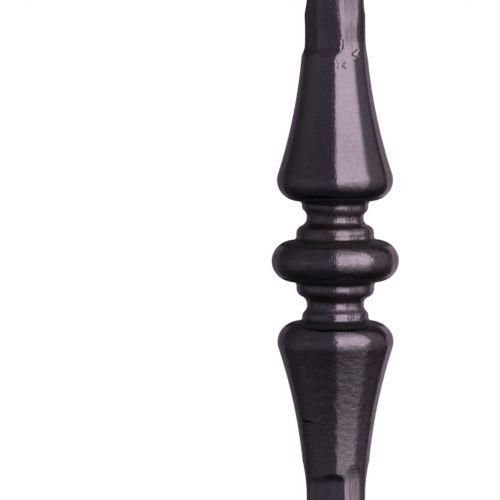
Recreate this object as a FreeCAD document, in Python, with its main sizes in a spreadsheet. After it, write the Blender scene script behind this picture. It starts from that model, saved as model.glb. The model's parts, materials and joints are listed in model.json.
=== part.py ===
import FreeCAD, Part
import math
import os
import Sketcher

# Iron stair baluster, forged from one bar. All lengths are in millimetres.
# +Z runs up the bar, and the origin is the centre of the bottom end face.
doc = FreeCAD.newDocument("stair_baluster")

# Driving dimensions, each written once.
SIZES = {
    "total_length": 1117.6,
    # Round centre: a ring between two bells, mirrored about the ring.
    "ring_height": 581.0,
    "ring_radius": 19.3,
    "bead_radius": 6.6,
    "collar_radius": 11.8,
    "neck_radius": 8.65,
    "neck_start": 13.0,
    "neck_length": 0.85,
    "cove_radius": 2.0,
    "fillet_radius": 10.0,
    "bell_radius": 17.5,
    "bell_offset": 24.5,
    "flare_radius": 165.0,
    "waist_radius": 9.75,
    "waist_offset": 65.5,
    # Lower bar, from the pin in the tread up to the lower bell.
    "tread_pin_radius": 7.15,
    "tread_pin_length": 38.1,
    "tread_pin_chamfer": 1.0,
    "foot_radius": 7.75,
    "lower_bar_radius": 8.9,
    "lower_bar_height": 330.0,
    # Upper bar, from the upper bell up to the pin in the handrail and its tapered tip.
    "upper_bar_radius": 6.77,
    "upper_bar_height": 940.0,
    "head_radius": 6.0,
    "rail_pin_radius": 5.5,
    "rail_pin_length": 28.0,
    "tip_length": 27.0,
    "tip_radius": 4.65,
    # Hammered flats along both bars, and the scooped stops where they run out on the bells.
    "flat_count": 8,
    "flat_share": 0.94,
    "stop_radius": 8.0,
    "stop_rise": 2.4,
}

sheet = doc.addObject("Spreadsheet::Sheet", "sizes")
for row, (alias, value) in enumerate(SIZES.items(), start=1):
    sheet.set(f"A{row}", alias)
    sheet.set(f"B{row}", str(value))
    sheet.setAlias(f"B{row}", alias)
doc.recompute()

body = doc.addObject("PartDesign::Body", "baluster_body")
body.Label = "baluster"
origin = {feature.Role: feature for feature in body.Origin.OriginFeatures}

START, END, CENTRE = 1, 2, 3
ORIGIN_POINT = (-1, 1)
UPRIGHT_AXIS = -2
HALF_TURN, FULL_TURN = 180, 360


def number(expression):
    """The value of an expression on the sheet, as a plain number."""
    value = sheet.evalExpression(expression)
    return float(getattr(value, "Value", value))


class Outline:
    """A closed outline in the XZ plane: edges drawn one after the other, x outwards and y up."""

    def __init__(self, name):
        self.sketch = body.newObject("Sketcher::SketchObject", name)
        self.sketch.AttachmentSupport = [(origin["XZ_Plane"], "")]
        self.sketch.MapMode = "FlatFace"
        self.edges = []

    def line(self, first, last):
        """A straight edge between two (x, y) points."""
        edge = Part.LineSegment(FreeCAD.Vector(*first, 0), FreeCAD.Vector(*last, 0))
        return self.keep(edge, START, END)

    def arc(self, centre, radius, first_deg, last_deg):
        """A round edge from one angle about its centre to another, either way round."""
        circle = Part.Circle(FreeCAD.Vector(*centre, 0), FreeCAD.Vector(0, 0, 1), radius)
        low, high = sorted((math.radians(first_deg), math.radians(last_deg)))
        ends = (START, END) if first_deg < last_deg else (END, START)
        return self.keep(Part.ArcOfCircle(circle, low, high), *ends)

    def keep(self, geometry, first, last):
        """Adds an edge, with the names of the points where the outline enters and leaves it."""
        index = self.sketch.addGeometry(geometry, False)
        self.edges.append((index, first, last))
        return index

    def rule(self, *words):
        """One geometric constraint."""
        return self.sketch.addConstraint(Sketcher.Constraint(*words))

    def bind(self, expression, kind, *where):
        """One dimension, tied to the sheet."""
        index = self.rule(kind, *where, number(expression))
        self.sketch.setExpression(f"Constraints[{index}]", expression)

    def place(self, edge, point, across=None, up=None):
        """Ties a point of an edge to its distance out from the axis and its height."""
        if across:
            self.bind(across, "DistanceX", *ORIGIN_POINT, edge, point)
        if up:
            self.bind(up, "DistanceY", *ORIGIN_POINT, edge, point)

    def join(self, smooth=()):
        """Joins each edge to the next, tangent to it after the edges named in smooth."""
        following = self.edges[1:] + self.edges[:1]
        for (edge, _, last), (after, first, _) in zip(self.edges, following):
            kind = "Tangent" if edge in smooth else "Coincident"
            self.rule(kind, edge, last, after, first)

    def polygon(self, corners):
        """Straight edges through corners given as a pair of sheet expressions, "" where it is zero."""
        points = [(number(across or "0"), number(up or "0")) for across, up in corners]
        lines = [self.line(a, b) for a, b in zip(points, points[1:] + points[:1])]
        self.join()
        for edge, (across, up) in zip(lines, corners):
            if across:
                self.place(edge, START, across=across)
            else:
                self.rule("PointOnObject", edge, START, UPRIGHT_AXIS)
            if up:
                self.place(edge, START, up=up)
            else:
                self.rule("PointOnObject", edge, START, ORIGIN_POINT[0])


def revolve(name, outline):
    """Turns an outline about the upright axis into part of the body."""
    doc.recompute()
    feature = body.newObject("PartDesign::Revolution", name)
    feature.Profile = outline.sketch
    feature.ReferenceAxis = (outline.sketch, ["V_Axis"])
    feature.Angle = FULL_TURN
    doc.recompute()
    return feature


# Half of the round centre, from the middle of the ring up to the waist where the bar begins.
# Heights in this outline count from the middle of the ring.
half = Outline("centre_outline")
half.sketch.setExpression("AttachmentOffset.Base.y", "sizes.ring_height")
bead, cove = number("sizes.bead_radius"), number("sizes.cove_radius")
ring, collar = number("sizes.ring_radius"), number("sizes.collar_radius")
neck, fillet = number("sizes.neck_radius"), number("sizes.fillet_radius")
bell, bell_up = number("sizes.bell_radius"), number("sizes.bell_offset")
waist, waist_up = number("sizes.waist_radius"), number("sizes.waist_offset")
flare = number("sizes.flare_radius")
neck_low = number("sizes.neck_start")
neck_high = number("sizes.neck_start + sizes.neck_length")


def s_turn(step):
    """The angle that two equal coves, back to back, turn through to cross a step in radius."""
    return math.degrees(math.acos(1 - step / (2 * cove)))


ring_turn = math.degrees(math.acos((collar - ring + bead) / bead))
ring_top = bead * math.sin(math.radians(ring_turn))
brow_turn = s_turn(collar - neck)
brow_up = neck_low - 2 * cove * math.sin(math.radians(brow_turn))
step_turn = s_turn(fillet - neck)
step_up = neck_high + 2 * cove * math.sin(math.radians(step_turn))
shoulder_turn = math.degrees(math.acos((fillet - bell + bead) / bead))
shoulder_up = bell_up - bead * math.sin(math.radians(shoulder_turn))

# The flare is a large arc that leaves the bell's rim smoothly and ends at the waist.
rim = FreeCAD.Vector(bell - bead, bell_up, 0)
to_waist = FreeCAD.Vector(waist, waist_up, 0) - rim
reach = to_waist.Length
rim_corner = math.acos((reach**2 + (flare + bead) ** 2 - flare**2) / (2 * reach * (flare + bead)))
rim_turn = math.atan2(to_waist.y, to_waist.x) - rim_corner
flare_centre = rim + FreeCAD.Vector(math.cos(rim_turn), math.sin(rim_turn), 0) * (flare + bead)
flare_end = math.atan2(waist_up - flare_centre.y, waist - flare_centre.x)
flare_end_deg = math.degrees(flare_end) % FULL_TURN
rim_deg = math.degrees(rim_turn)

middle = half.line((0, 0), (ring, 0))
ring_bead = half.arc((ring - bead, 0), bead, 0, ring_turn)
collar_wall = half.line((collar, ring_top), (collar, brow_up))
collar_brow = half.arc((collar - cove, brow_up), cove, 0, brow_turn)
collar_cove = half.arc((neck + cove, neck_low), cove, HALF_TURN + brow_turn, HALF_TURN)
neck_wall = half.line((neck, neck_low), (neck, neck_high))
fillet_cove = half.arc((neck + cove, neck_high), cove, HALF_TURN, HALF_TURN - step_turn)
fillet_brow = half.arc((fillet - cove, step_up), cove, -step_turn, 0)
fillet_wall = half.line((fillet, step_up), (fillet, shoulder_up))
bell_bead = half.arc((bell - bead, bell_up), bead, -shoulder_turn, rim_deg)
bell_flare = half.arc(tuple(flare_centre)[:2], flare, HALF_TURN + rim_deg, flare_end_deg)
waist_disc = half.line((waist, waist_up), (0, waist_up))
half.line((0, waist_up), (0, 0))

coves = (collar_wall, collar_brow, collar_cove, neck_wall, fillet_cove, fillet_brow)
half.join(smooth=(*coves, bell_bead))
half.rule("Coincident", middle, START, *ORIGIN_POINT)
half.rule("PointOnObject", waist_disc, END, UPRIGHT_AXIS)
for level in (middle, waist_disc):
    half.rule("Horizontal", level)
for wall in (collar_wall, neck_wall, fillet_wall):
    half.rule("Vertical", wall)
half.rule("PointOnObject", ring_bead, CENTRE, ORIGIN_POINT[0])
half.bind("sizes.bead_radius", "Radius", ring_bead)
half.rule("Equal", ring_bead, bell_bead)
half.bind("sizes.cove_radius", "Radius", collar_brow)
for curve in (collar_cove, fillet_cove, fillet_brow):
    half.rule("Equal", collar_brow, curve)
half.bind("sizes.flare_radius", "Radius", bell_flare)
half.place(middle, END, across="sizes.ring_radius")
half.place(collar_wall, START, across="sizes.collar_radius")
half.place(neck_wall, START, across="sizes.neck_radius", up="sizes.neck_start")
half.place(neck_wall, END, up="sizes.neck_start + sizes.neck_length")
half.place(fillet_wall, START, across="sizes.fillet_radius")
half.place(bell_bead, CENTRE, across="sizes.bell_radius - sizes.bead_radius", up="sizes.bell_offset")
half.place(waist_disc, START, across="sizes.waist_radius", up="sizes.waist_offset")
centre = revolve("centre", half)

other_half = body.newObject("PartDesign::Mirrored", "centre_mirrored")
other_half.Originals = [centre]
other_half.MirrorPlane = (half.sketch, ["H_Axis"])
body.Tip = other_half
doc.recompute()

# The two bars start at the waists as round tapers and end in plain round pins.
LOWER_WAIST = "sizes.ring_height - sizes.waist_offset"
UPPER_WAIST = "sizes.ring_height + sizes.waist_offset"
HEAD = "sizes.total_length - sizes.tip_length - sizes.rail_pin_length"

lower = Outline("lower_bar_outline")
lower.polygon(
    [
        ("", ""),
        ("sizes.tread_pin_radius - sizes.tread_pin_chamfer", ""),
        ("sizes.tread_pin_radius", "sizes.tread_pin_chamfer"),
        ("sizes.tread_pin_radius", "sizes.tread_pin_length"),
        ("sizes.foot_radius", "sizes.tread_pin_length + sizes.foot_radius - sizes.tread_pin_radius"),
        ("sizes.lower_bar_radius", "sizes.lower_bar_height"),
        ("sizes.waist_radius", LOWER_WAIST),
        ("", LOWER_WAIST),
    ]
)
revolve("lower_bar", lower)

upper = Outline("upper_bar_outline")
upper.polygon(
    [
        ("", UPPER_WAIST),
        ("sizes.waist_radius", UPPER_WAIST),
        ("sizes.upper_bar_radius", "sizes.upper_bar_height"),
        ("sizes.head_radius", f"{HEAD} - sizes.head_radius + sizes.rail_pin_radius"),
        ("sizes.rail_pin_radius", HEAD),
        ("sizes.rail_pin_radius", "sizes.total_length - sizes.tip_length"),
        ("sizes.tip_radius", "sizes.total_length"),
        ("", "sizes.total_length"),
    ]
)
revolve("upper_bar", upper)


def flats(name, waist_height, bar_radius, bar_height, end_radius, end_height, towards_bell):
    """Cuts one flat along a bar, with a scooped stop on the bell, and repeats it round the bar.

    Each flat lies at the same share of the round radius, so it follows the bar's taper.
    towards_bell is 1 where the bell is above the bar and -1 where it is below.
    """
    share = "sizes.flat_share"
    outside = "sizes.waist_radius + sizes.stop_radius"
    waist_flat = number(f"sizes.waist_radius * {share}")
    stop, rise = number("sizes.stop_radius"), number("sizes.stop_rise")
    waist_z = number(waist_height)
    stop_turn = math.degrees(math.acos(1 - rise / stop))
    stop_z = waist_z + towards_bell * stop * math.sin(math.radians(stop_turn))
    bar = (number(f"{bar_radius} * {share}"), number(bar_height))
    end = (number(f"{end_radius} * {share}"), number(end_height))
    far = number(outside)

    outline = Outline(f"{name}_outline")
    stop_deg = HALF_TURN - towards_bell * stop_turn
    stop_arc = outline.arc((waist_flat + stop, waist_z), stop, stop_deg, HALF_TURN)
    bell_side = outline.line((waist_flat, waist_z), bar)
    end_side = outline.line(bar, end)
    end_wall = outline.line(end, (far, end[1]))
    back = outline.line((far, end[1]), (far, stop_z))
    bell_wall = outline.line((far, stop_z), (waist_flat + rise, stop_z))
    outline.join()
    outline.bind("sizes.stop_radius", "Radius", stop_arc)
    outline.place(stop_arc, CENTRE, up=waist_height)
    outline.place(bell_side, START, across=f"sizes.waist_radius * {share}", up=waist_height)
    outline.place(end_side, START, across=f"{bar_radius} * {share}", up=bar_height)
    outline.place(end_wall, START, across=f"{end_radius} * {share}", up=end_height)
    outline.place(back, START, across=outside)
    outline.place(bell_wall, END, across=f"sizes.waist_radius * {share} + sizes.stop_rise")
    outline.rule("Horizontal", end_wall)
    outline.rule("Vertical", back)
    outline.rule("Horizontal", bell_wall)
    doc.recompute()

    cut = body.newObject("PartDesign::Pocket", f"{name}_cut")
    cut.Profile = outline.sketch
    cut.Type = "ThroughAll"
    cut.SideType = "Symmetric"
    doc.recompute()
    around = body.newObject("PartDesign::PolarPattern", f"{name}_pattern")
    around.Originals = [cut]
    around.Axis = (origin["Z_Axis"], [""])
    around.Angle = FULL_TURN
    around.setExpression("Occurrences", "sizes.flat_count")
    body.Tip = around
    doc.recompute()


round_volume = body.Shape.Volume
flats(
    "lower_flats",
    LOWER_WAIST,
    "sizes.lower_bar_radius",
    "sizes.lower_bar_height",
    "sizes.foot_radius",
    "sizes.tread_pin_length",
    towards_bell=1,
)
lower_volume = body.Shape.Volume
flats(
    "upper_flats",
    UPPER_WAIST,
    "sizes.upper_bar_radius",
    "sizes.upper_bar_height",
    "sizes.head_radius",
    HEAD,
    towards_bell=-1,
)
print("volume round, with lower flats, with all flats:")
print(round(round_volume), round(lower_volume), round(body.Shape.Volume))

for item in doc.Objects:
    faults = {"Invalid", "Error"} & set(item.State)
    if faults:
        raise RuntimeError(f"{item.Name} is {faults}")
shape = body.Shape
if shape.isNull() or not shape.isValid() or len(shape.Solids) != 1:
    raise RuntimeError("the baluster is not one valid solid")
if not body.Shape.Volume < lower_volume < round_volume:
    raise RuntimeError("the flats cut nothing")

os.makedirs("parts", exist_ok=True)
shape.exportStep(f"parts/{body.Label}.step")
box = shape.optimalBoundingBox()
print("size", round(box.XLength, 2), round(box.YLength, 2), round(box.ZLength, 2))
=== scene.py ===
# %% [markdown]
# # A forged iron stair baluster
#
# A baluster is one of the upright bars between a stair's treads and its handrail. This one is forged
# from a single bar: a ring between two flared bells at mid height, hammered bars that taper away above
# and below, and a plain round pin at each end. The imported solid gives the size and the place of
# everything. The lesson adds what a smith's hammer and a coat of black paint leave on such a bar.

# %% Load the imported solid
import json
import math

import bmesh
import bpy
import numpy as np
from mathutils import Matrix, Vector, noise


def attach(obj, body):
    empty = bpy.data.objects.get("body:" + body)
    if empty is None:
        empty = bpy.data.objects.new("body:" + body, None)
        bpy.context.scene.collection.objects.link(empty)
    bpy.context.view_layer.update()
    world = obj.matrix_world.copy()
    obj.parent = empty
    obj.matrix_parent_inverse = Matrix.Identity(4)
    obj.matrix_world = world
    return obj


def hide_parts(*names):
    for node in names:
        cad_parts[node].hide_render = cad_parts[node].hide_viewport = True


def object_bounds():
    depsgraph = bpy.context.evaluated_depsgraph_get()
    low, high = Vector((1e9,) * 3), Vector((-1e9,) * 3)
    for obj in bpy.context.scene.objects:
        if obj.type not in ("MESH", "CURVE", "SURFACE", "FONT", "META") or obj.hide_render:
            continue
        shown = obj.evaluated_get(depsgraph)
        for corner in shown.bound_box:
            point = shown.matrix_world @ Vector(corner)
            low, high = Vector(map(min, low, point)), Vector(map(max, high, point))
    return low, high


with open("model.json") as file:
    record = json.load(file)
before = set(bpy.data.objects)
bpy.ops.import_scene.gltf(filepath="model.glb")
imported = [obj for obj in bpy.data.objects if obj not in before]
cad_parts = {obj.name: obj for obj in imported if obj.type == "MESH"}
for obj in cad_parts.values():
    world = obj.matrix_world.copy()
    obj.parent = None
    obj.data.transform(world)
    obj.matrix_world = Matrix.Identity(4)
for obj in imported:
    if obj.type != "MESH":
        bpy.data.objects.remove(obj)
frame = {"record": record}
solid_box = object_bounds()
print("solid box", [tuple(round(c, 4) for c in corner) for corner in solid_box])

# %% [markdown]
# ## Sizes
#
# Blender works in metres, and a smith thinks in millimetres, so each size is written in millimetres
# times `MM`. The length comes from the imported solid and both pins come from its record, so the mesh
# stays true to them. The rest are the sizes of the profile: how far out a stretch lies from the axis,
# and how far up it is from the ring.

# %% Sizes of the pins
MM = 0.001
mounts = {mount["name"]: mount["dims"] for mount in frame["record"]["mounts"]}
length = solid_box[1].z
tread_pin = mounts["tread_pin"]["r_mm"] * MM
rail_pin = mounts["rail_pin"]["r_mm"] * MM
pin_chamfer = 1.0 * MM
tread_pin_end = mounts["tread_pin"]["length_mm"] * MM + pin_chamfer
tip, tip_long = 4.65 * MM, 27.0 * MM
tip_start = length - tip_long
rail_pin_start = tip_start - mounts["rail_pin"]["length_mm"] * MM
print(f"{length / MM:.1f} mm long, pins {2 * tread_pin / MM:.1f} and {2 * rail_pin / MM:.1f} mm across")

# %% Sizes of the centre
ring_height = 581.0 * MM
ring, bead, bead_tall = 19.3 * MM, 6.6 * MM, 6.3 * MM
collar, neck, fillet = 11.8 * MM, 8.65 * MM, 10.08 * MM
brow_cove, step_cove, crease = 2.6 * MM, 2.0 * MM, 1.2 * MM
neck_low, neck_high = 13.1 * MM, 13.7 * MM
bell, bell_up = 17.6 * MM, 24.5 * MM
flare = 165.0 * MM
print(f"ring {2 * ring / MM:.1f} mm across at {ring_height / MM:.0f} mm")

# %% Sizes of the bars
waist, waist_up = 9.75 * MM, 65.5 * MM
lower_waist, upper_waist = ring_height - waist_up, ring_height + waist_up
foot = 7.75 * MM
foot_start = tread_pin_end + foot - tread_pin
head = 6.0 * MM
head_end = rail_pin_start - head + rail_pin
lower_bar, lower_bar_height = 8.9 * MM, 330.0 * MM
upper_bar, upper_bar_height = 6.77 * MM, 940.0 * MM
print(f"bars {2 * waist / MM:.1f} mm across at the bells, {2 * foot / MM:.1f} at the foot")

# %% [markdown]
# ## The profile of the round centre
#
# The ring, the collars, the necks and the bells are round: the smith works them in a pair of swages, two
# blocks with half of the shape sunk in each. A surface like that is a profile spun about the axis. The
# profile could be one long list of points, but a draughtsman draws it as a few lines and arcs that meet
# smoothly, and so does this lesson. Each stretch is divided as finely as the picture needs, because the
# rows of the mesh come from these points. Only the upper half is drawn, since the lower half is its
# mirror image.

# %% Lines and arcs
fine_row = 0.5 * MM
cove_row = 0.35 * MM


def straight(start, end, row):
    """Points (out, up) along a straight stretch, without its last one."""
    count = max(1, round(math.dist(start, end) / row))
    shares = [index / count for index in range(count)]
    return [tuple(a + (b - a) * share for a, b in zip(start, end)) for share in shares]


def arc(centre, radius, first_deg, last_deg, row, tall=None):
    """Points (out, up) along a round stretch, or one of another height, without its last one."""
    first, turn = math.radians(first_deg), math.radians(last_deg - first_deg)
    count = max(2, round(abs(turn) * radius / row))
    angles = [first + turn * index / count for index in range(count)]
    tall = tall or radius
    return [(centre[0] + radius * math.cos(a), centre[1] + tall * math.sin(a)) for a in angles]


print("rows", fine_row / MM, "mm apart, in the coves", cove_row / MM)

# %% Where the stretches meet
# The turn of a cove follows from the step between the two radii that it joins.
brow_turn = math.acos(1 - (collar - neck) / (2 * brow_cove))
step_turn = math.acos(1 - (fillet - neck) / (2 * step_cove))
brow_up = neck_low - 2 * brow_cove * math.sin(brow_turn)
step_up = neck_high + 2 * step_cove * math.sin(step_turn)
brow_deg, step_deg = math.degrees(brow_turn), math.degrees(step_turn)
ring_top, shoulder_up = bead_tall, bell_up - bead_tall
print(f"creases {ring_top / MM:.1f} and {shoulder_up / MM:.1f} mm from the middle of the ring")

# %% Where the flare lies
# The flare is an arc that leaves the bell's rim smoothly and ends at the waist, which fixes its centre.
QUARTER_TURN, HALF_TURN, FULL_TURN = 90, 180, 360

rim = Vector((bell - bead, bell_up))
to_waist = Vector((waist, waist_up)) - rim
reach, swing = to_waist.length, flare + bead
rim_angle = math.atan2(to_waist.y, to_waist.x)
rim_angle -= math.acos((reach**2 + swing**2 - flare**2) / (2 * reach * swing))
flare_centre = rim + swing * Vector((math.cos(rim_angle), math.sin(rim_angle)))
rim_deg = math.degrees(rim_angle)
flare_end_deg = FULL_TURN + math.degrees(math.atan2(waist_up - flare_centre.y, waist - flare_centre.x))
print(f"the rim turns into the flare at {rim_deg:.1f} degrees")

# %% Draw half of the centre
collar_start, fillet_end = ring_top + crease, shoulder_up - crease
half_centre = (
    arc((ring - bead, 0), bead, 0, QUARTER_TURN, fine_row, bead_tall)
    + arc((collar + crease, collar_start), crease, -QUARTER_TURN, -HALF_TURN, cove_row)
    + straight((collar, collar_start), (collar, brow_up), fine_row)
    + arc((collar - brow_cove, brow_up), brow_cove, 0, brow_deg, cove_row)
    + arc((neck + brow_cove, neck_low), brow_cove, HALF_TURN + brow_deg, HALF_TURN, cove_row)
    + straight((neck, neck_low), (neck, neck_high), cove_row)
    + arc((neck + step_cove, neck_high), step_cove, HALF_TURN, HALF_TURN - step_deg, cove_row)
    + arc((fillet - step_cove, step_up), step_cove, -step_deg, 0, cove_row)
    + straight((fillet, step_up), (fillet, fillet_end), fine_row)
    + arc((fillet + crease, fillet_end), crease, HALF_TURN, QUARTER_TURN, cove_row)
    + arc((bell - bead, bell_up), bead, -QUARTER_TURN, 0, fine_row, bead_tall)
    + arc((bell - bead, bell_up), bead, 0, rim_deg, fine_row)
    + arc(flare_centre, flare, HALF_TURN + rim_deg, flare_end_deg, fine_row)
)
print(len(half_centre), "points from the middle of the ring to the waist")

# %% [markdown]
# ## Spinning the bar
#
# Before the hammer, the bars are plain round tapers, so they belong to the same profile. Near the bells
# the rows are close together, for the hammer's marks there, and along the plain bars they are wider
# apart. The whole profile then spins once round the axis. A Screw modifier could do that too, but the
# spin operator leaves a finished mesh, which the hammer can work on at once. Spin leaves a ring of
# doubled points at both poles, so the doubles are merged first and the faces are turned outwards
# afterwards.

# %% The whole profile
bar_row = 3.0 * MM
pin_row = 4.0 * MM
marked_reach = 20.0 * MM


def along(stations, row):
    """Straight stretches through several stations, without the last one."""
    return [point for a, b in zip(stations, stations[1:]) for point in straight(a, b, row)]


lower_stations = [(foot, foot_start), (lower_bar, lower_bar_height), (waist, lower_waist)]
upper_stations = [(waist, upper_waist), (upper_bar, upper_bar_height), (head, head_end)]


def taper(height):
    """The round radius of the bars at a height, before the hammer."""
    stations = lower_stations + upper_stations
    return np.interp(height, [up for _, up in stations], [out for out, _ in stations])


near_lower, near_upper = lower_waist - marked_reach, upper_waist + marked_reach
lower_mark, upper_mark = (taper(near_lower), near_lower), (taper(near_upper), near_upper)
tread_end = [(0, 0), (tread_pin - pin_chamfer, 0), (tread_pin, pin_chamfer), (tread_pin, tread_pin_end)]
rail_end = [(head, head_end), (rail_pin, rail_pin_start), (rail_pin, tip_start), (tip, length)]
profile = (
    along(tread_end + lower_stations[:1], pin_row)
    + along(lower_stations[:2] + [lower_mark], bar_row)
    + straight(lower_mark, lower_stations[-1], fine_row)
    + [(waist, lower_waist)]
    + [(out, ring_height - up) for out, up in reversed(half_centre[1:])]
    + [(out, ring_height + up) for out, up in half_centre]
    + straight(upper_stations[0], upper_mark, fine_row)
    + along([upper_mark] + upper_stations[1:], bar_row)
    + along(rail_end, pin_row)
    + straight((tip, length), (0, length), pin_row)
    + [(0, length)]
)
print(len(profile), "points from the tread to the rail")

# %% Spin the profile
columns = 120
doubled = 0.001 * MM

bm = bmesh.new()
points = [bm.verts.new((out, 0, up)) for out, up in profile]
edges = [bm.edges.new(pair) for pair in zip(points, points[1:])]
bmesh.ops.spin(
    bm,
    geom=points + edges,
    cent=(0, 0, 0),
    axis=(0, 0, 1),
    angle=math.tau,
    steps=columns,
    use_merge=True,
)
bmesh.ops.remove_doubles(bm, verts=bm.verts, dist=doubled)
bmesh.ops.recalc_face_normals(bm, faces=bm.faces)
print(columns, "columns,", len(bm.faces), "faces")

# %% [markdown]
# ## Finer mesh under the small marks
#
# The forge left a few small marks: a crescent, a nick, a fold and an edge of scale where the flats run
# out on the upper bell, and a chip, a notch and three pits on the lower one. They are only half a
# millimetre to five millimetres across, which is a few faces here. A finer mesh all over would be far
# too heavy, so only the faces under each mark are divided.

# %% The marks
def short_line(*points_mm):
    """A mark's line through a few points in millimetres, to the right and up of the mark's middle."""
    return [(right * MM, up * MM) for right, up in points_mm]


# Each mark: the side that it faces in degrees round from the front, its height, its depth and its line.
marks = {
    "crescent": (18.8, 640.3 * MM, 0.15 * MM, arc((0, 0), 0.9 * MM, 100, 300, 0.4 * MM)),
    "nick": (39.5, 643.9 * MM, 0.11 * MM, short_line((1.2, 1.1), (-0.9, 0), (0.9, -0.9))),
    "fold": (11.0, 647.2 * MM, 0.08 * MM, arc((-2.6 * MM, 0), 3.2 * MM, -26, 26, 0.6 * MM)),
    "scale_edge": (3.0, 640.5 * MM, 0.03 * MM, short_line((-0.2, 1.4), (0.2, 0.4), (0, -0.8))),
    "chip": (-49.8, 532.6 * MM, 0.5 * MM, arc((0.2 * MM, -6.0 * MM), 6.2 * MM, 70, 112, 0.6 * MM)),
    "notch": (30.0, 519.2 * MM, 0.06 * MM, arc((0, -0.7 * MM), 0.8 * MM, 45, 135, 0.4 * MM)),
    "upper_pit": (10.0, 543.6 * MM, 0.05 * MM, short_line((-0.3, 0), (0.3, 0.1))),
    "middle_pit": (21.0, 540.6 * MM, 0.06 * MM, short_line((-0.2, 0.2), (0.3, -0.1))),
    "lower_pit": (24.0, 537.2 * MM, 0.06 * MM, short_line((-0.5, 0.1), (0.4, -0.1))),
}
print(len(marks), "marks:", ", ".join(marks))

# %% Divide the faces under the marks
mark_reach = 2.8 * MM
mark_cuts = 2


def facing(angle_deg, out, up):
    """The point that far out on the side that an angle names: 0 is the front, 90 the right."""
    angle = math.radians(angle_deg)
    return Vector((out * math.sin(angle), -out * math.cos(angle), up))


def surface_radius(height):
    """The radius of the spun surface on the flares and bars at a height."""
    outs, ups = zip(*[point for point in profile if abs(point[1] - ring_height) > bell_up])
    return float(np.interp(height, ups, outs))


for angle_deg, up, _, _ in marks.values():
    spot = facing(angle_deg, surface_radius(up), up)
    under = [face for face in bm.faces if (face.calc_center_median() - spot).length < mark_reach]
    cut_edges = list({edge for face in under for edge in face.edges})
    bmesh.ops.subdivide_edges(bm, edges=cut_edges, cuts=mark_cuts, use_grid_fill=True)
mesh = bpy.data.meshes.new("forged_baluster")
bm.to_mesh(mesh)
bm.free()
print(len(mesh.polygons), "faces with the divided ones")

# %% [markdown]
# ## Hammered flats
#
# The smith draws the bar out under the hammer, turning it by an eighth between the blows, so each bar
# ends up with eight flats. A flat isn't a plane: it is a row of slightly crowned blows, no two of which
# have quite the same depth, tilt and turn, though they are calmer near the bells. They could be cut one
# by one with a Boolean, but hundreds of cuts are slow and leave slivers. So each blow is modelled as what
# it is, a shallow cut that takes material off, and each point moves in to the lowest of the cuts over it.
# A soft minimum takes the place of a plain one, because paint and the hammer itself leave the edges a
# little round. Next to the bells the cuts curve up and out. On some sides they do so at once, which
# leaves a scalloped stop, and on others over a centimetre or more, which leaves a soft run-out.

# %% Place of every point, round and up
co = np.empty(len(mesh.vertices) * 3)
mesh.vertices.foreach_get("co", co)
co = co.reshape(-1, 3)
radius = np.hypot(co[:, 0], co[:, 1])
angle = np.arctan2(co[:, 0], -co[:, 1])
height = co[:, 2].copy()
print(len(co), "points, furthest out", round(radius.max() / MM, 2), "mm")

# %% The flats of both bars
# Each flat: the side that it faces in degrees, then in millimetres how much further out than an even flat
# it lies at the bell, which is below zero for a deeper one, how far past the waist its run-out starts, and
# the radius of the run-out.
lower_flats = [
    (-5.5, -0.5, -1.6, 4.0),
    (32.8, 0.05, -0.5, 14.0),
    (88.0, -0.4, -9.0, 85.0),
    (132.0, -0.4, -1.0, 9.0),
    (177.0, -0.5, 0.0, 5.5),
    (225.0, -0.5, 0.0, 6.5),
    (271.0, -0.38, -9.0, 85.0),
    (321.0, -0.1, -2.4, 6.0),
]
upper_flats = [
    (-10.0, -0.5, 0.0, 4.5),
    (32.2, -0.13, -2.0, 22.0),
    (60.0, 0.24, -3.0, 15.0),
    (95.0, 0.0, -2.0, 30.0),
    (148.0, -0.35, -1.0, 8.0),
    (205.0, -0.4, 0.0, 5.5),
    (262.0, -0.6, 0.0, 5.0),
    (308.0, -0.35, 0.0, 4.5),
]
print(len(lower_flats), "flats below,", len(upper_flats), "above")

# %% How far out a flat lies
flat_share = 0.94
pinch_length = 110.0 * MM


def flat_depth(up, bar, flat):
    """How far out an even flat lies: a share of the taper, pinched at the bell, with a run-out onto it."""
    waist_at, bell_side = bar
    _, pinch, start, stop_radius = (value * MM for value in flat)
    beyond = bell_side * (up - waist_at)
    into_bell = np.clip(beyond - start, 0, None)
    run_out = stop_radius - np.sqrt(np.clip(stop_radius**2 - into_bell**2, 0, None))
    on_bar = np.where(beyond > 0, waist, taper(up))
    return flat_share * on_bar + run_out + pinch * np.clip(1 + beyond / pinch_length, 0, 1)


print("an even flat lies at", flat_share, "of the taper")

# %% One blow
edge_softness = 0.08 * MM
stop_reach = 4.0 * MM
blow_reach = 22.0 * MM
blow_crown = 110.0 * MM
blow_half_deg = 45


def strike(cuts, bar, flat, at, turn=0.0, depth=0.0, tilt=0.0, crown=blow_crown):
    """Adds one blow to the cuts: its weight in the soft minimum, at each point that it can reach."""
    waist_at, bell_side = bar
    off_axis = np.cos(angle - math.radians(flat[0] + turn))
    on_bell = bell_side * (height - waist_at)
    near = (np.abs(height - at) < blow_reach) & (on_bell < stop_reach)
    near &= off_axis > math.cos(math.radians(blow_half_deg))
    off = height[near] - at
    depths = flat_depth(height[near], bar, flat) + depth + tilt * off + off**2 / (2 * crown)
    cuts[near] += np.exp((radius[near] - depths / off_axis[near]) / edge_softness)


print("a blow reaches", blow_reach / MM, "mm up and down")

# %% A row of blows
blow_spacing, spacing_range = 11.0 * MM, (0.7, 1.3)
first_blow = 3.0 * MM
calm_reach = 60.0 * MM
turn_spread_deg, depth_spread, tilt_spread = 0.9, 0.05 * MM, 0.007
rng = np.random.default_rng(7)


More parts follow.
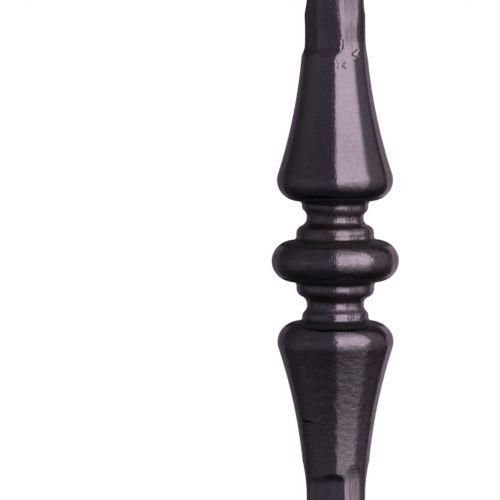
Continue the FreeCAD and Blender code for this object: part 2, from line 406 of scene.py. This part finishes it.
def strike_bar(cuts, flats, bar, end_at):
    """A row of uneven blows along each flat of a bar, from its waist to its end."""
    count = 0
    waist_at, bell_side = bar
    for flat in flats:
        at = waist_at - bell_side * first_blow
        while bell_side * (at - end_at) > 0:
            turn = rng.normal(0, turn_spread_deg)
            depth = rng.normal(0, depth_spread)
            tilt = rng.normal(0, tilt_spread)
            calm = min(1.0, abs(at - waist_at) / calm_reach)
            strike(cuts, bar, flat, at, turn * calm, depth * calm, tilt * calm)
            at -= bell_side * blow_spacing * rng.uniform(*spacing_range)
            count += 1
    return count


print("blows about", blow_spacing / MM, "mm apart")

# %% Strike the flats
lower, upper = (lower_waist, 1), (upper_waist, -1)
lower_cuts, upper_cuts = np.zeros(len(co)), np.zeros(len(co))
blows = strike_bar(lower_cuts, lower_flats, lower, tread_pin_end)
blows += strike_bar(upper_cuts, upper_flats, upper, rail_pin_start)
print(blows, "blows in rows")

# %% Strike a few places again
# Each blow: its flat, then in millimetres how far above the upper waist it falls, how much further out
# than the flat it lies, which is below zero for a deeper one, and the radius of its crown.
narrow_strip, short_flat = (1.0, 0.0, 0.0, 5.0), (88.0, -0.4, -10.5, 3.0)
lit_side, left_side = upper_flats[1], upper_flats[6]
struck_again = [
    (narrow_strip, 5, -0.18, 400),
    (narrow_strip, 16, -0.4, 100),
    (short_flat, 20, 0, 110),
    (lit_side, 17, -0.5, 100),
    (left_side, 17, -0.75, 30),
]
for flat, above, depth, crown in struck_again:
    strike(upper_cuts, upper, flat, upper_waist + above * MM, depth=depth * MM, crown=crown * MM)

on_bars = (height > tread_pin_end) & (height < rail_pin_start)
radius -= np.where(on_bars, edge_softness * np.log1p(lower_cuts + upper_cuts), 0)
print(len(struck_again), "more blows, thinnest", round(radius[on_bars].min() / MM, 2), "mm")

# %% [markdown]
# ## Grooves of the marks
#
# Each mark is a groove along its line, with a faint lip where the metal was pushed aside. The chip is
# half a millimetre deep, and the others are less than a fifth. They could be bumps in the paint, but a
# groove in the mesh also shows in a plain export.

# %% Cut the marks
groove_width = 0.28 * MM
lip_share, lip_widths_off = 0.12, 2


def off_line(right, up, line):
    """The distance of each point, given to the right and up of a mark's middle, from the mark's line."""
    nearest = np.full(len(right), np.inf)
    for (a_right, a_up), (b_right, b_up) in zip(line, line[1:]):
        run_right, run_up = b_right - a_right, b_up - a_up
        share = (right - a_right) * run_right + (up - a_up) * run_up
        share = np.clip(share / (run_right**2 + run_up**2), 0, 1)
        gap = np.hypot(right - a_right - share * run_right, up - a_up - share * run_up)
        nearest = np.minimum(nearest, gap)
    return nearest


for angle_deg, at, depth, line in marks.values():
    right = radius * np.sin(angle - math.radians(angle_deg))
    under = (np.abs(right) < mark_reach) & (np.abs(height - at) < mark_reach)
    under &= np.cos(angle - math.radians(angle_deg)) > 0
    gap = off_line(right[under], height[under] - at, line) / groove_width
    lip = lip_share * np.exp(-((gap - lip_widths_off) ** 2))
    radius[under] -= depth * (np.exp(-(gap**2)) - lip)
print(len(marks), "grooves")

# %% [markdown]
# ## Necks that aren't quite true
#
# The swages didn't close squarely on this bar. At the front right the necks sit askew, mostly a little
# low, and a narrow facet was dressed on them. Neither can be drawn in the profile, which is the same all
# round. So the facet is one more flat, cut only between the ring and the bells, and the lean moves points
# up or down by a share that depends on their side and height.

# %% Dress the necks
dressed_deg = 34.5
dressed_share = 0.963

off_middle = np.abs(height - ring_height)
on_necks = (off_middle > ring_top) & (off_middle < shoulder_up)
off_dressed = np.cos(angle - math.radians(dressed_deg))
dressed = 1 - dressed_share / np.maximum(off_dressed, dressed_share)
radius -= np.where(on_necks, radius * dressed, 0)
print("dressed by", round(neck * (1 - dressed_share) / MM, 2), "mm at the necks")

# %% Let the necks sit askew
# Each station: its height in millimetres above the middle of the ring, and its share of the lean.
lower_fillet = [(-24.5, 0), (-20, 0.5), (-17, 0.6), (-15.5, 0)]
lower_neck = [(-13.5, -0.4), (-11.5, 0.3), (-8, 0.5), (-6, 0)]
upper_neck = [(10.5, 0), (12.5, 0.6), (14.5, 1), (16.8, 0.9), (18.2, 0)]
askew, askew_deg = 0.6 * MM, 45

askew_up, askew_share = np.array(lower_fillet + lower_neck + upper_neck).T
on_askew_side = np.clip(np.cos(angle - math.radians(askew_deg)), 0, None)
co[:, 2] -= askew * on_askew_side * np.interp(height - ring_height, askew_up * MM, askew_share)
print("askew by up to", askew / MM, "mm on one side")

# %% [markdown]
# ## Uneven forging
#
# A forged surface is never quite even, so slow noise moves it in and out by about two hundredths of a
# millimetre, which is enough to make a mirrored edge waver. A Displace modifier could do the same, but
# here the points are at hand already, and both ends can stay as they are.

# %% Make the forging uneven
# Each swell: its size, and how far it can move the surface.
swells = ((4.5 * MM, 0.018 * MM), (1.8 * MM, 0.010 * MM))
even_ends = 6.0 * MM

uneven = np.zeros(len(co))
for size, amount in swells:
    uneven += amount * np.array([noise.noise(Vector(point) / size) for point in co])
from_end = np.minimum(height, length - height)
radius += uneven * np.clip(from_end / even_ends, 0, 1) * (radius > 0)
radius = np.minimum(radius, ring)
print("uneven by", round(np.abs(uneven).max() / MM, 3), "mm at most")

# %% Put the points back
sharp_deg = 40

co[:, 0] = radius * np.sin(angle)
co[:, 1] = -radius * np.cos(angle)
mesh.vertices.foreach_set("co", co.ravel())
mesh.shade_smooth()
mesh.set_sharp_from_angle(angle=math.radians(sharp_deg))
mesh.update()
baluster = bpy.data.objects.new("forged_baluster", mesh)
bpy.context.scene.collection.objects.link(baluster)
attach(baluster, "root")
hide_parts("baluster")
print(baluster.name, "replaces the plain solid")

# %% [markdown]
# ## Black paint
#
# The bar is coated with black paint that dries to a satin shine with a hint of purple. A paint is
# usually a dark diffuse colour under a clear gloss. But nearly all that shows on this bar is reflection,
# and its hint of purple is the same from the lit flats to the rims, where a clear gloss would turn grey.
# So the coat is built as a very dark metal, whose reflections carry its own colour. Shader maths reads
# best as Python, so one small class wraps a socket: adding or multiplying wrapped sockets adds the Math
# nodes. Any other node comes from its `node` method.

# %% A socket with arithmetic
class Wire:
    """A socket of a node tree. An expression on wires adds its Math nodes to the tree."""

    def __init__(self, tree, socket=None):
        self.tree = tree
        self.socket = socket

    def node(self, kind, settings=None, sockets=None, output=0):
        """Adds a node: its settings first, then the values or wires of its inputs."""
        made = self.tree.nodes.new(kind)
        for name, value in (settings or {}).items():
            setattr(made, name, value)
        for name, value in (sockets or {}).items():
            if isinstance(value, Wire):
                self.tree.links.new(value.socket, made.inputs[name])
            else:
                made.inputs[name].default_value = value
        return Wire(self.tree, made.outputs[output] if made.outputs else None)

    def math(self, operation, first, second):
        return self.node("ShaderNodeMath", {"operation": operation}, {0: first, 1: second})

    def __add__(self, other):
        return self.math("ADD", self, other)

    def __radd__(self, other):
        return self.math("ADD", other, self)

    def __sub__(self, other):
        return self.math("SUBTRACT", self, other)

    def __rsub__(self, other):
        return self.math("SUBTRACT", other, self)

    def __mul__(self, other):
        return self.math("MULTIPLY", self, other)

    def __rmul__(self, other):
        return self.math("MULTIPLY", other, self)

    def ramp(self, low, high, to_low=0.0, to_high=1.0, shape="SMOOTHSTEP"):
        """A step from one value to another as this wire goes from low to high, smooth or linear."""
        sockets = {"Value": self, "From Min": low, "From Max": high, "To Min": to_low, "To Max": to_high}
        return self.node("ShaderNodeMapRange", {"interpolation_type": shape}, sockets)


def node_tree(owner):
    """An emptied node tree of a material or world, as a wire to build from."""
    owner.use_nodes = True
    owner.node_tree.nodes.clear()
    return Wire(owner.node_tree)


print("wires ready")

# %% [markdown]
# ## The texture of the paint
#
# Under a lens the coat isn't smooth. Everywhere it has a fine grain and broad, faint clouds. The swages
# left short upright scratches on the ring, the collars and the necks, and the paint dried in soft
# blotches there and on the rims of the bells. The bars have upright streaks from the hammer, and the
# lower bell kept small ridges of forge scale. Each of these could be an image, but noise on the piece's
# own coordinates needs no file and has no seam. It is stretched up the bar for the scratches and streaks
# and squeezed for the blotches and ridges, and a height mask keeps it where it belongs. On the brows and
# steps of the necks the coat is rougher. In the creases beside the ring and the bells, shade is painted
# in: a near-black matt colour takes the place of most of the paint there.

# %% Noise and height masks
coat = bpy.data.materials.new("satin_black_coat")
tree = node_tree(coat)
place = tree.node("ShaderNodeTexCoord", None, None, "Object")
up_bar = tree.node("ShaderNodeSeparateXYZ", None, {"Vector": place}, "Z")
from_ring = tree.math("ABSOLUTE", up_bar - ring_height, 0)


def noise_on(size, detail, stretch=1.0):
    """Noise on the piece's own coordinates, centred on zero: its size in metres, stretched up the bar."""
    moved = tree.node("ShaderNodeMapping", None, {"Vector": place, "Scale": (1, 1, 1 / stretch)})
    sockets = {"Vector": moved, "Scale": 1 / size, "Detail": detail}
    return tree.node("ShaderNodeTexNoise", None, sockets) - 0.5


def between(wire, low, high, soft):
    """A mask that is 1 between two values of a wire, with soft edges."""
    return wire.ramp(low - soft, low + soft) * wire.ramp(high - soft, high + soft, 1, 0)


print(coat.name, "is measured from the ring")

# %% Patterns of the coat
on_centre = from_ring.ramp(shoulder_up, shoulder_up + 2 * MM, 1, 0)
on_hammered = from_ring.ramp(waist_up - 6 * MM, waist_up)
up_to_rims = from_ring.ramp(bell_up, bell_up + 4 * MM, 1, 0)
on_lower_bell = between(up_bar, lower_waist + 4 * MM, ring_height - bell_up, 3 * MM)

grain = noise_on(size=0.6 * MM, detail=2)
cloud = noise_on(size=16 * MM, detail=2)
scratches = noise_on(size=0.6 * MM, detail=2, stretch=5) * on_centre
streaks = noise_on(size=1.3 * MM, detail=2, stretch=7) * on_hammered
blotches = noise_on(size=2.4 * MM, detail=3, stretch=0.6) * up_to_rims
ridges = noise_on(size=2.2 * MM, detail=4, stretch=0.8) * on_lower_bell
print(coat.name, "patterns:", len(coat.node_tree.nodes), "nodes")

# %% Rough places, and painted shade in the creases
brows = between(from_ring, brow_up + 1 * MM, neck_low - 1 * MM, 0.6 * MM)
steps = between(from_ring, neck_high + 0.4 * MM, step_up - 1.0 * MM, 0.5 * MM)
# Painted shade: masks of the creases beside the ring and the bells, where a dark matt colour is painted.
shaded_creases = between(from_ring, ring_top - 1.6 * MM, ring_top + 0.5 * MM, 0.4 * MM)
shaded_creases = shaded_creases + between(from_ring, shoulder_up - 0.5 * MM, shoulder_up + 1.5 * MM, 0.5 * MM)
print(coat.name, "with masks:", len(coat.node_tree.nodes), "nodes")

# %% The black coat
deep_black, pale_black = (0.067, 0.052, 0.062, 1), (0.094, 0.073, 0.089, 1)
purple_hint = (1.0, 0.83, 0.95, 1)
# Painted shade: the near-black matt colour of the creases, and how much of the paint it replaces there.
shade_black, shade_share = (0.0127, 0.0115, 0.0132, 1), 0.85

mottle = (cloud * 0.5 + grain + scratches * 0.8 + streaks + blotches + ridges).ramp(-0.35, 0.35)
mix = {"Factor": mottle, 6: deep_black, 7: pale_black}
black = tree.node("ShaderNodeMix", {"data_type": "RGBA"}, mix, 2)
# The relief is in millimetres, because the bump's distance is one millimetre.
relief = grain * 0.02 + scratches * 0.05 + streaks * 0.03 + blotches * 0.12 + ridges * 0.15
normal = tree.node("ShaderNodeBump", None, {"Height": relief, "Distance": 1 * MM, "Strength": 1.0})
paint = tree.node(
    "ShaderNodeBsdfPrincipled",
    None,
    {
        "Base Color": black,
        "Metallic": 1.0,
        "Roughness": 0.14 + grain * 0.1 + cloud * 0.04 + brows * 0.25 + steps * 0.4,
        "Specular Tint": purple_hint,
        "Normal": normal,
    },
)
# The painted shade of the creases, a dark matt colour mixed in over the paint.
painted_shade = tree.node("ShaderNodeBsdfDiffuse", None, {"Color": shade_black})
surface = tree.node("ShaderNodeMixShader", None, {0: shaded_creases * shade_share, 1: paint, 2: painted_shade})
tree.node("ShaderNodeOutputMaterial", None, {"Surface": surface})
mesh.materials.append(coat)
print(coat.name, len(coat.node_tree.nodes), "nodes")

# %% [markdown]
# ## Studio light
#
# Glossy black shows little of its own colour: what we see on it is the room. The photographed bar
# mirrors one tall soft window at the front right, which begins in a sharp line at the front and fades
# towards the floor and the ceiling. Beside it are a dim wall further right, a pale backdrop behind, a
# small lamp at the left, and a dark, slightly cool room elsewhere. Area lamps could stand for the
# window, but their distance shifts the line from piece to piece. So the room is painted on the world,
# where a brightness belongs to a direction and not to a place. Its level is plain: the pale floor
# renders about as pale as it is written. The camera itself sees plain white.

# %% Directions of the room
scene = bpy.context.scene
scene.view_settings.view_transform = "Standard"
world = bpy.data.worlds.new("studio")
scene.world = world
sky = node_tree(world)
direction = sky.node("ShaderNodeTexCoord", None, None, "Generated")
to_right, to_back, up = (
    sky.node("ShaderNodeSeparateXYZ", None, {"Vector": direction}, axis) for axis in "XYZ"
)
side = sky.math("ARCTAN2", to_right, 0 - to_back) * math.degrees(1)
print("sides are in degrees round from the front, and up runs from -1 to 1")

# %% The window
# The far side of the window swings out by a few degrees above the horizon, and again near the floor.
window_level = 4.35

from_floor = up.ramp(-0.9, 0.09, shape="LINEAR")
to_ceiling = up.ramp(0.6, 1.06, 1, 0, "LINEAR")
far_side = side - up.ramp(0.0, 0.3, 0, 6) - up.ramp(-0.6, -0.2, 7, 0)
across = side.ramp(1.2, 3.0) * far_side.ramp(60, 74, 1, 0)
window = across * from_floor * from_floor * to_ceiling
print("window", window_level, "times white")

# %% The wall, the backdrop and the lamp
wall_level, lamp_level = 0.38, 0.26

wall = between(side, 2, 117, 5) * up.ramp(-0.7, 0.1)
wall = wall * up.ramp(0.05, 0.45, 1, 1.6) * up.ramp(0.6, 1.0, 1, 0.3)
behind = to_back - up * up * 1.2
backdrop = behind.ramp(0.53, 0.62) * behind.ramp(0.57, 0.92, 0.16, 0.04)
backdrop = backdrop * to_right.ramp(-0.1, 0.1, 1, 5.5)
left_lamp = between(side, -62, -53, 2) * between(up, -0.05, 0.12, 0.08)
print("wall", wall_level, "and lamp", lamp_level, "times white")

# %% Light the scene
white, cool = (1, 1, 1, 1), (0.93, 1.0, 1.08, 1)

room = window * window_level + wall * wall_level + backdrop + left_lamp * lamp_level
gloom = up.ramp(-0.9, 0.05, 0.105, 0.48) * up.ramp(0.05, 0.5, 1, 0.75) * to_back.ramp(-0.3, 0.6, 1, 0.4)
camera_ray = sky.node("ShaderNodeLightPath", None, None, "Is Camera Ray")
strength = camera_ray + (1 - camera_ray) * room
light = sky.node("ShaderNodeBackground", None, {"Color": white, "Strength": strength})
dark = sky.node("ShaderNodeBackground", None, {"Color": cool, "Strength": (1 - camera_ray) * gloom})
both = sky.node("ShaderNodeAddShader", None, {0: light, 1: dark})
sky.node("ShaderNodeOutputWorld", None, {"Surface": both})
print(world.name, len(world.node_tree.nodes), "nodes")

# %% [markdown]
# ## Floor
#
# The bar stands on a pale disc, which takes its shadow. A plane out to the horizon could do so too, but
# its grey would show behind the bar, where the photograph is white. So towards the edge the disc clears
# away and melts into the white around it. The black paint doesn't mirror the disc, because in the
# photograph the undersides are dark.

# %% Lay the floor
floor_radius, floor_sides = 0.6, 64

floor_mesh = bpy.data.meshes.new("floor")
disc = bmesh.new()
bmesh.ops.create_circle(disc, cap_ends=True, segments=floor_sides, radius=floor_radius)
disc.to_mesh(floor_mesh)
disc.free()
floor = bpy.data.objects.new("floor", floor_mesh)
scene.collection.objects.link(floor)
floor.visible_glossy = False
print("floor", 2 * floor_radius, "m across")

# %% Paint the floor
pale = (0.85, 0.85, 0.85, 1)
fade_start = 0.1 * floor_radius

floor_paint = bpy.data.materials.new("pale_floor")
ground = node_tree(floor_paint)
matt = ground.node("ShaderNodeBsdfDiffuse", None, {"Color": pale})
clear = ground.node("ShaderNodeBsdfTransparent")
on_floor = ground.node("ShaderNodeTexCoord", None, None, "Object")
from_bar = ground.node("ShaderNodeVectorMath", {"operation": "LENGTH"}, {0: on_floor}, "Value")
faded = from_bar.ramp(fade_start, floor_radius)
mixed = ground.node("ShaderNodeMixShader", None, {0: faded, 1: matt, 2: clear})
ground.node("ShaderNodeOutputMaterial", None, {"Surface": mixed})
floor_mesh.materials.append(floor_paint)
print(floor_paint.name, "clears from", fade_start, "m outwards")

# %% [markdown]
# ## Camera
#
# The photograph shows the middle of the bar large, seen a little from above. A short lens close by could
# frame it too, but a long lens far away keeps the ring as round and the bar as straight as they are
# there. The scale comes from the ring: so many millimetres for each pixel. The place of the ring's
# middle in the picture sets where the camera stands, and the camera is rolled by a hair, because the bar
# leans that much there.

# %% Where the camera stands
photo_side = 500
pixel = 0.303 * MM
axis_pixel, ring_pixel = 335.2, 261.1
camera_distance = 2.5
camera_above_deg = 3.6

tip_down = math.radians(camera_above_deg)
back_off = Vector((0, -math.cos(tip_down), math.sin(tip_down)))
image_up = Vector((0, math.sin(tip_down), math.cos(tip_down)))
standpoint = (
    Vector((0, 0, ring_height))
    + back_off * camera_distance
    + image_up * (ring_pixel - photo_side / 2) * pixel
    - Vector((axis_pixel - photo_side / 2, 0, 0)) * pixel
)
print("camera at", [round(c, 3) for c in standpoint])

# %% Set up the camera
sensor_width, camera_reach = 36.0, 100
camera_roll_deg = -0.22

camera = bpy.data.cameras.new("camera")
camera.sensor_width = sensor_width
camera.lens = sensor_width * camera_distance / (photo_side * pixel)
camera.clip_end = camera_reach
camera_object = bpy.data.objects.new("camera", camera)
camera_object.location = standpoint
roll = Matrix.Rotation(math.radians(camera_roll_deg), 3, "Z")
camera_object.rotation_euler = (Matrix.Rotation(math.pi / 2 - tip_down, 3, "X") @ roll).to_euler()
scene.collection.objects.link(camera_object)
scene.camera = camera_object
print("lens", round(camera.lens), "mm")

# %% [markdown]
#
# Hammer marks and paint mustn't change the size of the part.

# %% End of the script
print("done")
